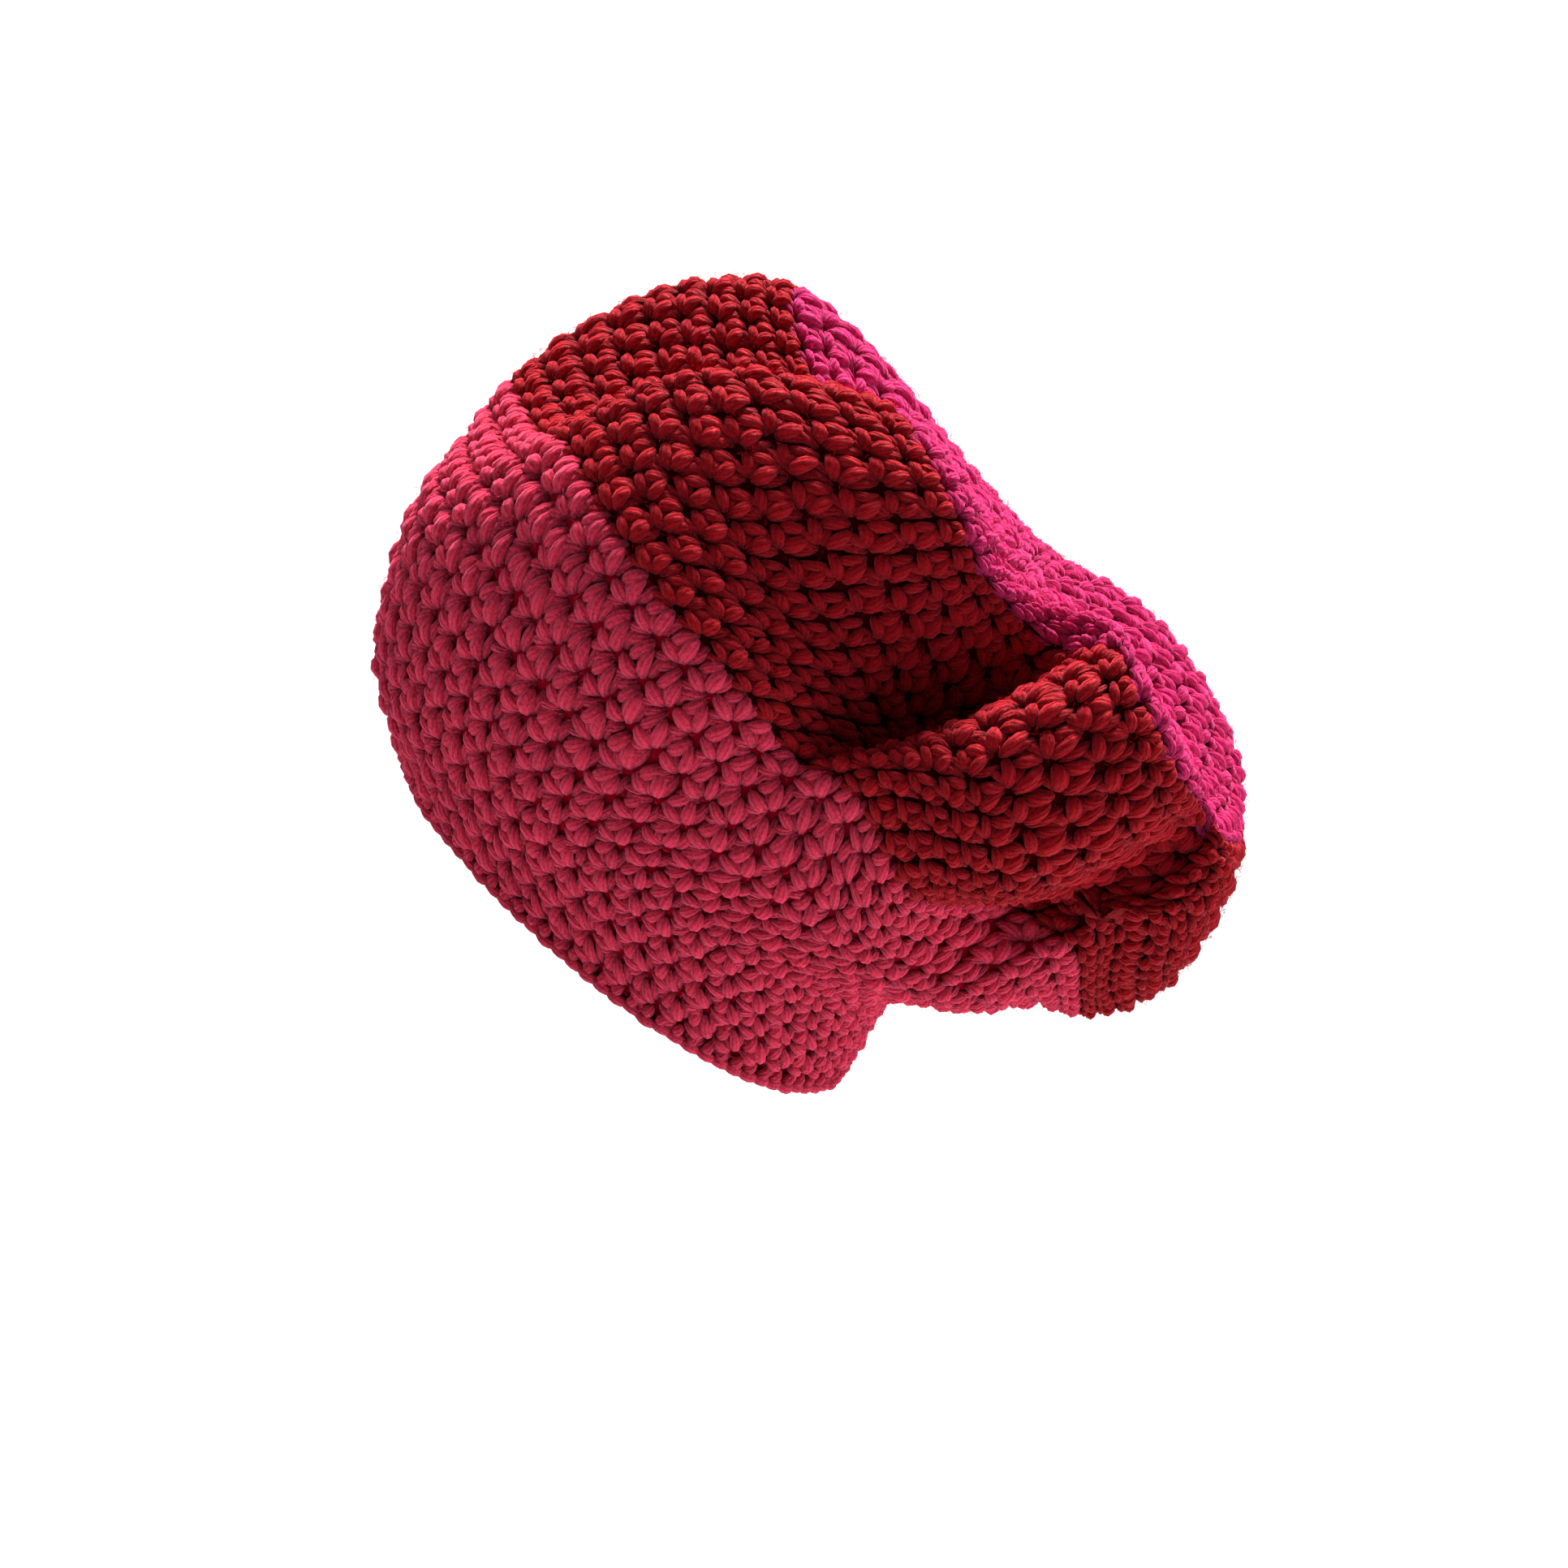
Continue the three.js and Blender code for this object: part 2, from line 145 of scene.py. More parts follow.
def hat_surface(degrees, share):
    """Rows of share, columns of degrees, in mm: an oval of the section's half width and half
    depth, pulled by the folds, tilted, turned and moved to the section's middle."""
    columns = SECTIONS[:, 1:]
    at = SECTIONS[:, 0]
    back, up, tilt, turn, deep, wide, close = curve(at, columns, slopes(at, columns), share).T[..., None]
    half_depth = (BRIM_DEPTH + (BAG_DEPTH - BRIM_DEPTH) * deep) * close / 2
    half_width = (BRIM_WIDTH + (BAG_WIDTH - BRIM_WIDTH) * wide) * close / 2
    fold = fold_offsets(degrees, share)
    angle = np.radians(degrees)[None]
    rows = share[:, None]
    taper = FOREHEAD_TAPER * (1 - ease(TAPER_START, SEAM, rows))
    away = np.abs(degrees - (TUCK["from"] + TUCK["to"]) / 2) / ((TUCK["to"] - TUCK["from"]) / 2)
    pinch = TUCK["pinch"] * np.exp(-((rows - TUCK["at"]) / TUCK["spread"]) ** 2)
    keep = 1 - pinch * (1 - ease(0.6, 1, away))[None]
    across = (np.cos(angle) * (1 - taper * np.sin(angle)) + fold[..., 0]) * keep
    along = half_depth * (np.sin(angle) + fold[..., 1]) * keep
    tilt, turn = np.radians(tilt), np.radians(turn)
    side = half_width * across
    out = side * np.sin(turn) + BAG_WIDTH * fold[..., 2]
    return np.stack([
        side * np.cos(turn),
        BAG_REACH * back - np.cos(tilt) * along + np.sin(tilt) * out,
        BAG_RISE * up + np.sin(tilt) * along + np.cos(tilt) * out,
    ], -1)


# %% [markdown]
# The stitches will ask for tens of thousands of points on this surface, so it is worked out
# once on a fine grid, with the direction that faces out at every point, and read between the
# grid's corners after that. The directions are averaged over a small patch: yarn stands on
# the cloth around it, and not on one point.

# %% A fine grid of the surface
DEGREE_STEP = 0.5
DEGREES = np.arange(-180, 180, DEGREE_STEP)
SHARES = np.linspace(0, 1, 401)
POINTS = hat_surface(DEGREES, SHARES)


def outward(points, reach_rows=5, reach_columns=8):
    """Cross product of the two grid directions, averaged over a patch, of length 1."""
    rise = np.gradient(points, axis=0)
    turn = np.roll(points, -1, axis=1) - np.roll(points, 1, axis=1)
    normal = np.cross(rise, turn)
    for step, axis in ((reach_rows, 0), (reach_columns, 1)):
        wide = np.pad(normal, [(step, step) if a == axis else (0, 0) for a in range(3)],
                      mode="wrap" if axis else "edge")
        count = normal.shape[axis]
        normal = sum(np.take(wide, range(i, i + count), axis=axis) for i in range(2 * step + 1))
    return normal / np.linalg.norm(normal, axis=-1, keepdims=True)


OUTWARD = outward(POINTS)


def read_grid(grid, degrees, share):
    """The grid's value between four corners, each weighted by how near it is."""
    column = (degrees + 180) % 360 / DEGREE_STEP
    row = np.clip(share, 0, 1) * (len(SHARES) - 1)
    c, r = np.floor(column).astype(int), np.minimum(np.floor(row).astype(int), len(SHARES) - 2)
    fc, fr = (column - c)[..., None], (row - r)[..., None]
    c, after = c % len(DEGREES), (c + 1) % len(DEGREES)
    low = grid[r, c] * (1 - fc) + grid[r, after] * fc
    high = grid[r + 1, c] * (1 - fc) + grid[r + 1, after] * fc
    return low * (1 - fr) + high * fr


def on_fabric(degrees, share, height):
    """A point on the surface, moved out along the smooth outward direction by a height in mm."""
    out = read_grid(OUTWARD, degrees, share)
    out = out / np.linalg.norm(out, axis=-1, keepdims=True)
    return read_grid(POINTS, degrees, share) + out * height[..., None]


print("surface spans, mm:", POINTS.reshape(-1, 3).min(0).round(), POINTS.reshape(-1, 3).max(0).round())

# %% [markdown]
# ## Rounds and stitches
# Crochet grows in rounds. Here a round is about 14 mm tall and a stitch 13.7 mm wide, and each
# round sits a third of a stitch on from the one before, because the hook always enters to one
# side of the loop below. A round is a whole number of stitches, so its stitches are spread evenly
# by the length of the round and not by its degrees: they stay the same size where the cloth
# folds. Below the crown four rounds in a row share one number of stitches, or the pattern would
# drift apart a little more with every stitch round the hat.

# %% Where the rounds run
STITCH_WIDTH, ROUND_HEIGHT, LEAN = 13.7, 14.0, 0.315
ROUNDS_AT_SEAM, ROUNDS_AT_RIM, ROUNDS_AT_MIDDLE = 11.5, 20.7, 29.0
FIRST_ROUND = 0.7
SHARED_ROUNDS, FEWEST_STITCHES = 4, 5
ROUND_COS, ROUND_SIN = 0.6, 0.8  # of the 53 degrees between a round and the picture's width
ROUND_POSITIONS = np.arange(FIRST_ROUND, ROUNDS_AT_MIDDLE - 0.6)


def share_at(round_position):
    """Rounds are evenly spaced inside each colour, so this is a line of three straight parts."""
    return np.interp(round_position, [0, ROUNDS_AT_SEAM, ROUNDS_AT_RIM, ROUNDS_AT_MIDDLE],
                     [0, SEAM, RIM, 1])


ROUND_DEGREES = np.arange(0, 360 + DEGREE_STEP, DEGREE_STEP)


def round_lengths(round_position):
    """Length in mm along the round from the wearer's left to each of ROUND_DEGREES."""
    share = np.full(len(ROUND_DEGREES), share_at(round_position))
    path = read_grid(POINTS, ROUND_DEGREES, share)
    steps = np.linalg.norm(np.diff(path, axis=0), axis=1)
    return np.concatenate([[0], np.cumsum(steps)])


def stitch_counts(lengths):
    """Whole stitches of about STITCH_WIDTH. Below the crown, SHARED_ROUNDS rounds in a row share
    the count that fits their mean length."""
    flat = int(np.sum(ROUND_POSITIONS < ROUNDS_AT_RIM))
    first = [n // SHARED_ROUNDS * SHARED_ROUNDS for n in range(flat)]
    shared = [lengths[n:min(n + SHARED_ROUNDS, flat)].mean() for n in first]
    counts = np.round(np.append(shared, lengths[flat:]) / STITCH_WIDTH)
    return np.maximum(FEWEST_STITCHES, counts).astype(int)


LENGTHS = np.array([round_lengths(r) for r in ROUND_POSITIONS])
STITCHES = stitch_counts(LENGTHS[:, -1])
print("rounds:", len(STITCHES), "stitches in each:", STITCHES.tolist(), "in all:", STITCHES.sum())


def turned(first, second):
    """Picture millimetres to along the round and up the bag, or back: it undoes itself."""
    return -ROUND_COS * first + ROUND_SIN * second, ROUND_SIN * first + ROUND_COS * second


def place(round_number, stitch, x, y, height):
    """Stitch millimetres to the hat: x and y lie flat, with y up the picture of the near side.
    The round runs at 53 degrees to them, so both are turned into its own two directions."""
    along_round, up_bag = turned(x, y)
    position = ROUND_POSITIONS[round_number] + up_bag / ROUND_HEIGHT
    count, length = STITCHES[round_number], LENGTHS[round_number, -1]
    at = (stitch + LEAN * round_number + along_round / STITCH_WIDTH) / count * length
    degrees = np.interp(at % length, LENGTHS[round_number], ROUND_DEGREES)
    return on_fabric(degrees, share_at(position), height)


# %% [markdown]
# ## Loops of yarn
# One stitch shows as two fat petals that stand in a V, a short loop lying across their top, and
# the strands that fan out beside them. All of them dive into the same eye. Each is the same
# simple form: a bent spindle, thin at both ends. A petal has 5 rings of 7 corners, 70 triangles,
# because there are thousands of them. The fine plies are left to the material.

# %% The spindle
def spindles(start, middle, end, width, thick, belly, rings, sides):
    """Corners of bent spindles, one per row of start, middle and end. The spine is the parabola
    through the three points, and the radius is sin(pi t^belly)^0.4 of half the width."""
    t = (np.arange(rings) + 0.55) / (rings + 0.1)
    t = t[None, :, None]
    control = 2 * middle - (start + end) / 2
    s, c, e = start[:, None], control[:, None], end[:, None]
    spine = (1 - t) ** 2 * s + 2 * t * (1 - t) * c + t * t * e
    run = (1 - t) * (c - s) + t * (e - c)
    side = np.cross(run, [0, 0, 1])
    side /= np.linalg.norm(side, axis=-1, keepdims=True)
    up = np.cross(side, run)
    up /= np.linalg.norm(up, axis=-1, keepdims=True)
    radius = np.sin(np.pi * t ** belly[:, None, None]) ** 0.4 / 2
    turn = (np.arange(sides) / sides * 2 * np.pi)[None, None, :, None]
    wide, high = ((radius * size[:, None, None])[:, :, None] for size in (width, thick))
    corners = spine[:, :, None] + wide * np.cos(turn) * side[:, :, None] + high * np.sin(turn) * up[:, :, None]
    return np.concatenate([corners.reshape(len(start), -1, 3), start[:, None], end[:, None]], axis=1)


def table_spindles(rows, ends, rings, sides, swell=1.0):
    """Spindles of table rows: their nine places are given as ends, and swell widens them."""
    return spindles(ends[:, 0:3], ends[:, 3:6], ends[:, 6:9],
                    rows[:, 9] * swell, rows[:, 10] * swell, rows[:, 11], rings, sides)


def spindle_faces(count, rings, sides):
    """Quads between the rings and a fan of triangles at each end, with (u, v) for each corner:
    u runs along the spindle and v round it."""
    i, j = np.meshgrid(np.arange(rings - 1), np.arange(sides), indexing="ij")
    i, j = i.ravel(), j.ravel()
    k = (j + 1) % sides
    quads = np.stack([i * sides + j, (i + 1) * sides + j, (i + 1) * sides + k, i * sides + k], -1)
    t = (np.arange(rings) + 0.55) / (rings + 0.1)
    quad_uv = np.stack([np.stack([t[i], t[i + 1], t[i + 1], t[i]], -1),
                        np.stack([j, j, j + 1, j + 1], -1) / sides], -1)
    j = np.arange(sides)
    k = (j + 1) % sides
    first, last, top = rings * sides, rings * sides + 1, (rings - 1) * sides
    fans = np.concatenate([np.stack([first + 0 * j, j, k], -1), np.stack([last + 0 * j, top + k, top + j], -1)])
    first_u = np.stack([0 * j, t[0] + 0 * j, t[0] + 0 * j], -1)
    last_u = np.stack([1 + 0 * j, t[-1] + 0 * j, t[-1] + 0 * j], -1)
    first_v, last_v = np.stack([j + 0.5, j, j + 1], -1) / sides, np.stack([j + 0.5, j + 1, j], -1) / sides
    fan_uv = np.concatenate([np.stack([first_u, first_v], -1), np.stack([last_u, last_v], -1)])
    size = rings * sides + 2
    shift = (np.arange(count) * size)[:, None, None]
    return ((quads[None] + shift).reshape(-1, 4), (fans[None] + shift).reshape(-1, 3),
            np.tile(quad_uv.reshape(-1, 2), (count, 1)), np.tile(fan_uv.reshape(-1, 2), (count, 1)))


# %% [markdown]
# A mesh in Blender is a few flat arrays: corners, the corner numbers of each face, and values
# per corner. Filling them whole with foreach_set takes a moment, where adding faces one by one
# takes minutes. Each piece also carries two values for its material: a tint that differs from
# loop to loop, and how deep in the fabric a corner lies, which the material turns into painted shade.

# %% From arrays to a mesh
def yarn_piece(name, points, quads, triangles, uv, values, material):
    """A mesh object at the origin from points in mm, faces, a uv per face corner and
    named values per point."""
    mesh = bpy.data.meshes.new(name)
    corner_numbers = np.concatenate([quads.ravel(), triangles.ravel()]).astype(np.int32)
    sizes = np.concatenate([np.full(len(quads), 4), np.full(len(triangles), 3)])
    mesh.vertices.add(len(points))
    mesh.vertices.foreach_set("co", (points * MM).astype(np.float32).ravel())
    mesh.loops.add(len(corner_numbers))
    mesh.loops.foreach_set("vertex_index", corner_numbers)
    mesh.polygons.add(len(sizes))
    mesh.polygons.foreach_set("loop_start", (np.cumsum(sizes) - sizes).astype(np.int32))
    mesh.polygons.foreach_set("use_smooth", np.ones(len(sizes), bool))
    mesh.uv_layers.new(name="ply").data.foreach_set("uv", uv.astype(np.float32).ravel())
    for key, value in values.items():
        layer = mesh.attributes.new(key, "FLOAT", "POINT")
        layer.data.foreach_set("value", np.asarray(value, np.float32).ravel())
    mesh.materials.append(material)
    mesh.update(calc_edges=True)
    piece = bpy.data.objects.new(name, mesh)
    bpy.context.scene.collection.objects.link(piece)
    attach(piece, "root")
    print(f"{name}: {len(points)} points, {2 * len(quads) + len(triangles)} triangles")
    return piece


def spindle_piece(name, points, rings, sides, values, material):
    """One piece of many spindles, from their corners on the hat."""
    quads, fans, quad_uv, fan_uv = spindle_faces(len(points), rings, sides)
    return yarn_piece(name, points.reshape(-1, 3), quads, fans, np.concatenate([quad_uv, fan_uv]),
                      values, material)


# %% [markdown]
# ## The yarn's finish
# Soft acrylic yarn is matt, with a sheen where light grazes its fluff. Three or four plies wind
# round each strand and leave fine dark lines along it, painted shade in the grooves between them.
# The plies could be modelled, at ten times the faces. They are drawn with a sine of the loop's own
# uv, which follows every bend, and the same sine lifts them as a bump. Streaks of noise along the
# strand stand for fibres, and a finer noise both roughens the bump and paints specks of light on
# the smooth loops: painted highlights for the glints of fluff. Loops deep in the fabric are painted
# darker: painted shade.

# %% Yarn materials
def shader_node(tree, kind, **settings):
    """A node of a kind with its settings, and numbers or colours for its named inputs."""
    node = tree.nodes.new(kind)
    for key, value in settings.items():
        if key in node.inputs:
            node.inputs[key].default_value = value
        else:
            setattr(node, key, value)
    return node


def calculate(tree, operation, first, second=0.5):
    """A Math node of two values, each a number or another node's output."""
    node = shader_node(tree, "ShaderNodeMath", operation=operation)
    for slot_number, value in enumerate((first, second)):
        if isinstance(value, (int, float)):
            node.inputs[slot_number].default_value = value
        else:
            tree.links.new(value, node.inputs[slot_number])
    return node.outputs[0]


def weighted_sum(tree, *parts):
    """Math nodes for the sum of every part's output times its weight."""
    terms = [calculate(tree, "MULTIPLY", output, weight) for output, weight in parts]
    total = terms[0]
    for term in terms[1:]:
        total = calculate(tree, "ADD", total, term)
    return total


def yarn_material(name, bright, painted_shade_colour, fuzz, sheen, roughness, twist, plies=8.0):
    """Colour runs from dark in the grooves to bright on the plies, and darker deep in: both are
    painted shade, and the fine noise adds painted highlights. A ply's height is |sin(pi w)|^0.6,
    where w winds round the strand and a little along it."""
    material = bpy.data.materials.new(name)
    material.use_nodes = True
    tree = material.node_tree
    tree.nodes.clear()
    link = tree.links.new
    uv = shader_node(tree, "ShaderNodeUVMap", uv_map="ply")
    tint = shader_node(tree, "ShaderNodeAttribute", attribute_name="tint").outputs["Fac"]
    deep = shader_node(tree, "ShaderNodeAttribute", attribute_name="deep").outputs["Fac"]
    stretch = shader_node(tree, "ShaderNodeMapping", Scale=(2.2, 26.0, 1.0))
    link(uv.outputs[0], stretch.inputs[0])
    apart = shader_node(tree, "ShaderNodeCombineXYZ")
    link(calculate(tree, "MULTIPLY", tint, 60.0), apart.inputs[0])
    link(apart.outputs[0], stretch.inputs["Location"])
    fibre_noise = shader_node(tree, "ShaderNodeTexNoise", Scale=1.0, Detail=4.0, Roughness=0.65)
    link(stretch.outputs[0], fibre_noise.inputs["Vector"])
    fibre = fibre_noise.outputs["Fac"]
    strand = shader_node(tree, "ShaderNodeSeparateXYZ")
    link(uv.outputs[0], strand.inputs[0])
    wound = weighted_sum(tree, (strand.outputs[1], plies), (strand.outputs[0], twist), (tint, 3.0), (fibre, 0.9))
    ply = calculate(tree, "ABSOLUTE", calculate(tree, "SINE", calculate(tree, "MULTIPLY", wound, np.pi)))
    ply = calculate(tree, "POWER", ply, 0.6)
    place_in_hat = shader_node(tree, "ShaderNodeTexCoord")
    fluff_noise = shader_node(tree, "ShaderNodeTexNoise", Scale=900.0, Detail=3.0)
    link(place_in_hat.outputs["Object"], fluff_noise.inputs["Vector"])
    fluff = calculate(tree, "SUBTRACT", fluff_noise.outputs["Fac"], 0.46)
    lift = weighted_sum(tree, (ply, 0.7), (fibre, 0.9), (fluff, 0.7))
    # the colour's factor: painted shade in the ply grooves and deep in the fabric, painted highlight specks from
    # the fine noise, and random tone from the fibres and the tint
    light = weighted_sum(tree, (ply, 0.25), (fibre, 1.1), (fluff, 1.6), (tint, 0.16), (deep, -0.95))
    ramp = shader_node(tree, "ShaderNodeMix", data_type="RGBA")
    ramp.inputs["A"].default_value = (*painted_shade_colour, 1)
    ramp.inputs["B"].default_value = (*bright, 1)
    link(light, ramp.inputs["Factor"])
    bump = shader_node(tree, "ShaderNodeBump", Strength=1.0, Distance=0.0008)
    link(lift, bump.inputs["Height"])
    skin = shader_node(tree, "ShaderNodeBsdfPrincipled", Roughness=roughness)
    skin.inputs["Sheen Weight"].default_value = sheen
    skin.inputs["Sheen Roughness"].default_value = 0.45
    skin.inputs["Sheen Tint"].default_value = (*fuzz, 1)
    skin.inputs["Specular IOR Level"].default_value = 0.04
    link(ramp.outputs["Result"], skin.inputs["Base Color"])
    link(bump.outputs[0], skin.inputs["Normal"])
    end = shader_node(tree, "ShaderNodeOutputMaterial")
    link(skin.outputs[0], end.inputs[0])
    return material


def shaded_yarn(name, colour):
    """One matt colour and no sheen. With the shade colour it is the yarn deep inside the fabric in painted
    shade; the fluff gets the bright colour.
    """
    material = bpy.data.materials.new(name)
    material.use_nodes = True
    skin = material.node_tree.nodes["Principled BSDF"]
    skin.inputs["Base Color"].default_value = (*colour, 1)
    skin.inputs["Roughness"].default_value = 1.0
    skin.inputs["Specular IOR Level"].default_value = 0.0
    return material


def linear(red, green, blue):
    """A screen colour, 0 to 255, as the linear light that shaders use."""
    c = np.array([red, green, blue]) / 255
    return tuple(float(v) for v in np.where(c < 0.04045, c / 12.92, ((c + 0.055) / 1.055) ** 2.4))


BEFORE_CROWN = ROUNDS_AT_RIM - 0.01  # 0.7 and twenty more rounds may fall a hair short of 20.7
# for each colour, the darker of the two yarn colours is painted shade for the ply grooves and for loops deep in
# the fabric
BANDS = {
    "lower_band": {
        "slot": "pink_yarn", "rounds": (0, ROUNDS_AT_SEAM), "shares": (0.0, SEAM),
        "bright": (240, 56, 88), "painted_shade_colour": (100, 4, 20), "shade": (150, 8, 32), "fuzz": (255, 150, 190),
        "sheen": 0.45, "rough": 0.85, "twist": 0.8, "slim": 1.0, "fibres": 9},
    "middle_band": {
        "slot": "red_yarn", "rounds": (ROUNDS_AT_SEAM, BEFORE_CROWN), "shares": (SEAM, RIM),
        "bright": (176, 14, 26), "painted_shade_colour": (46, 1, 5), "shade": (58, 2, 7), "fuzz": (255, 96, 112),
        "sheen": 0.5, "rough": 0.55, "twist": 2.2, "slim": 0.98, "fibres": 14},
    "crown": {
        "slot": "magenta_yarn", "rounds": (BEFORE_CROWN, np.inf), "shares": (RIM, 1.0),
        "bright": (218, 36, 106), "painted_shade_colour": (112, 0, 40), "shade": (140, 4, 50), "fuzz": (255, 120, 180),
        "sheen": 0.5, "rough": 0.55, "twist": 2.2, "slim": 0.96, "fibres": 14},
}
for band_name, band in BANDS.items():
    band["yarn"] = yarn_material(band["slot"], linear(*band["bright"]), linear(*band["painted_shade_colour"]),
                                 linear(*band["fuzz"]), band["sheen"], band["rough"], band["twist"])
    # the sheet behind the stitches takes the yarn's colour darkened: painted shade
    band["shaded"] = shaded_yarn(band["slot"] + "_shaded", linear(*band["shade"]))
    band["fluff"] = shaded_yarn(band["slot"] + "_fluff", linear(*band["bright"]))
    print(band_name, "finish made")

# %% [markdown]
# ## Stitches of the outside
# The table holds one stitch, in millimetres from its eye: where each loop starts, its highest
# point, where it ends, how wide and thick it is, and where along it the belly lies. Hands are
# not machines, so every loop is moved, swollen and leaned a little at random.

# %% One stitch, and all of them
EYE_DEPTH = 1.9  # the table's zero lies this far under the surface, in mm
# painted shade: loops are drawn darker the deeper they dive into the fabric, none at LIT_HEIGHT, the most at
# DARK_HEIGHT
LIT_HEIGHT, DARK_HEIGHT = 2.0, -3.4  # corners at or above the first are bright, at the second dark
#   start            highest point     end               width thick belly
PETALS = np.array([
    [0.0, 0.9, -3.2, 2.8, 5.8, 0.8, 5.6, 10.8, -1.8, 5.7, 5.0, 0.85],       # right petal
    [-1.6, 1.2, -3.3, -3.6, 6.0, 0.2, -6.2, 10.8, -2.2, 5.5, 4.4, 1.00],    # left petal
    [-3.9, 9.2, -2.5, 0.9, 10.9, 0.0, 6.2, 12.6, -2.7, 5.6, 4.2, 1.00],     # loop across the top
])
STRANDS = np.array([
    [-0.7, 1.4, -3.2, -0.5, 5.8, -0.6, -0.2, 10.0, -2.6, 4.4, 3.4, 1.00],   # between the petals
    [1.5, 0.7, -3.3, 6.0, 4.4, -0.8, 10.2, 8.8, -2.8, 5.0, 3.8, 1.05],      # right of the petals
    [-1.8, 1.9, -3.3, -6.2, 3.8, -0.5, -11.0, 5.4, -2.8, 4.2, 3.4, 0.95],   # to the left
    [-1.8, -0.3, -3.4, -6.6, 0.6, -0.8, -11.6, 1.4, -3.0, 4.3, 3.4, 0.95],  # to the left, below
])


def painted_shade_by_depth(z):
    """Painted shade by depth: 0 at LIT_HEIGHT and 1 at DARK_HEIGHT, in a straight line between them."""
    return np.clip((LIT_HEIGHT - z) / (LIT_HEIGHT - DARK_HEIGHT), 0, 1)


def stitch_loops(table, rings, sides, round_number, slim, wobble=0.45):
    """Every loop of every stitch of one round, laid on the hat: corners, painted shade by depth and tint."""
    count, kinds = STITCHES[round_number], len(table)
    rows = np.tile(table, (count, 1))
    shake = chance.normal(0, wobble, (count * kinds, 9))
    shake[:, [2, 5, 8]] *= 0.6
    swell = slim * (1 + chance.normal(0, 0.08, count * kinds))
    corners = table_spindles(rows, rows[:, :9] + shake, rings, sides, swell)
    stitch = np.repeat(np.arange(count), kinds)[:, None]
    x, y, z = corners[..., 0], corners[..., 1], corners[..., 2]
    points = place(round_number, stitch, x, y, z - EYE_DEPTH)
    tint = np.repeat(chance.uniform(0, 1, count * kinds)[:, None], corners.shape[1], 1)
    return points, painted_shade_by_depth(z), tint


def rounds_of(band):
    """Numbers of the rounds worked in one colour."""
    low, high = band["rounds"]
    return [n for n, r in enumerate(ROUND_POSITIONS) if low <= r < high]


def band_loops(name, band, table, rings, sides):
    """The rounds of one colour, in two pieces, one for each side of the hat."""
    made = [stitch_loops(table, rings, sides, n, band["slim"]) for n in rounds_of(band)]
    points, deep, tint = (np.concatenate([m[i] for m in made]) for i in range(3))
    near = points.mean(1)[:, 0] > 0
    for side_name, chosen in (("left", near), ("right", ~near)):
        spindle_piece(f"{name}_{side_name}", points[chosen], rings, sides,
                      {"deep": deep[chosen], "tint": tint[chosen]}, band["yarn"])


for band_name, band in BANDS.items():
    band_loops(band_name + "_petals", band, PETALS, 5, 7)
    band_loops(band_name + "_strands", band, STRANDS, 4, 6)

# %% [markdown]
# ## The middle of the crown
# The last round is only a few stitches long. The end of the yarn is drawn through them and pulled
# tight, and they close like a purse. Seven short loops that meet in the middle stand for that.
# Degrees mean nothing at the pole, so they are laid on a small flat disc there instead.

# %% The closing
#   outward, sideways and up of the start, the highest point and the end, then width, thick, belly
CLOSING = np.array([[8.6, 0.0, -3.6, 4.4, 0.5, 0.5, -1.0, 0.3, -3.0, 5.4, 4.6, 1.0]])


def crown_closing(band, loops=7, rings=5, sides=7):
    """A point at x outward and y sideways of a loop at angle a goes to the pole, plus
    (x cos a - y sin a) u, plus (x sin a + y cos a) v, plus its height along the outward line."""
    pole, out = POINTS[-1].mean(0), OUTWARD[-16].mean(0)
    out /= np.linalg.norm(out)
    u = np.cross(out, [1.0, 0.0, 0.0])
    u /= np.linalg.norm(u)
    v = np.cross(out, u)
    rows = np.tile(CLOSING, (loops, 1))
    corners = table_spindles(rows, rows[:, :9] + chance.normal(0, 0.3, (loops, 9)), rings, sides)
    angle = (np.arange(loops) / loops * 2 * np.pi)[:, None]
    x, y, z = corners[..., 0], corners[..., 1], corners[..., 2]
    points = (pole + (x * np.cos(angle) - y * np.sin(angle))[..., None] * u
              + (x * np.sin(angle) + y * np.cos(angle))[..., None] * v + (z - EYE_DEPTH)[..., None] * out)
    tint = np.repeat(chance.uniform(0, 1, loops)[:, None], corners.shape[1], 1)
    spindle_piece("crown_closing", points, rings, sides, {"deep": painted_shade_by_depth(z), "tint": tint},
                  band["yarn"])


crown_closing(BANDS["crown"])

# %% [markdown]
# ## The edge of the brim
# The first round is worked into a chain, and a last round of slip stitches closes its edge with
# a fat soft cord. Without it the stitches would seem cut off. The cord is three rows of links,
# outside, underneath and inside, and short legs stand on it and fill the way to the first eyes.
# All four are spindles again, only laid along the edge.

# %% The cord and its legs
#   along, up and out of the start, the highest point and the end, then width, thick, belly
EDGE = np.array([
    [-5.6, 1.9, -2.4, 0.0, 2.5, -0.6, 5.6, 3.1, -2.4, 4.6, 4.2, 1.0],       # outside
    [-5.2, 1.5, -4.6, 0.0, 1.1, -3.4, 5.2, 1.5, -4.6, 3.8, 4.0, 1.0],       # underneath
    [-5.6, 3.1, -5.4, 0.0, 2.5, -6.6, 5.6, 1.9, -5.4, 4.6, 4.2, 1.0],       # inside
    [-1.6, 3.4, -3.2, 0.4, 6.4, -1.0, 2.4, 9.8, -3.4, 4.4, 4.0, 1.0],       # leg
])
# painted shade of each of the four links of the edge: how much darker each is drawn
EDGE_PAINTED_SHADE = [0.12, 0.3, 0.3, 0.25]  # how shaded each of the four is


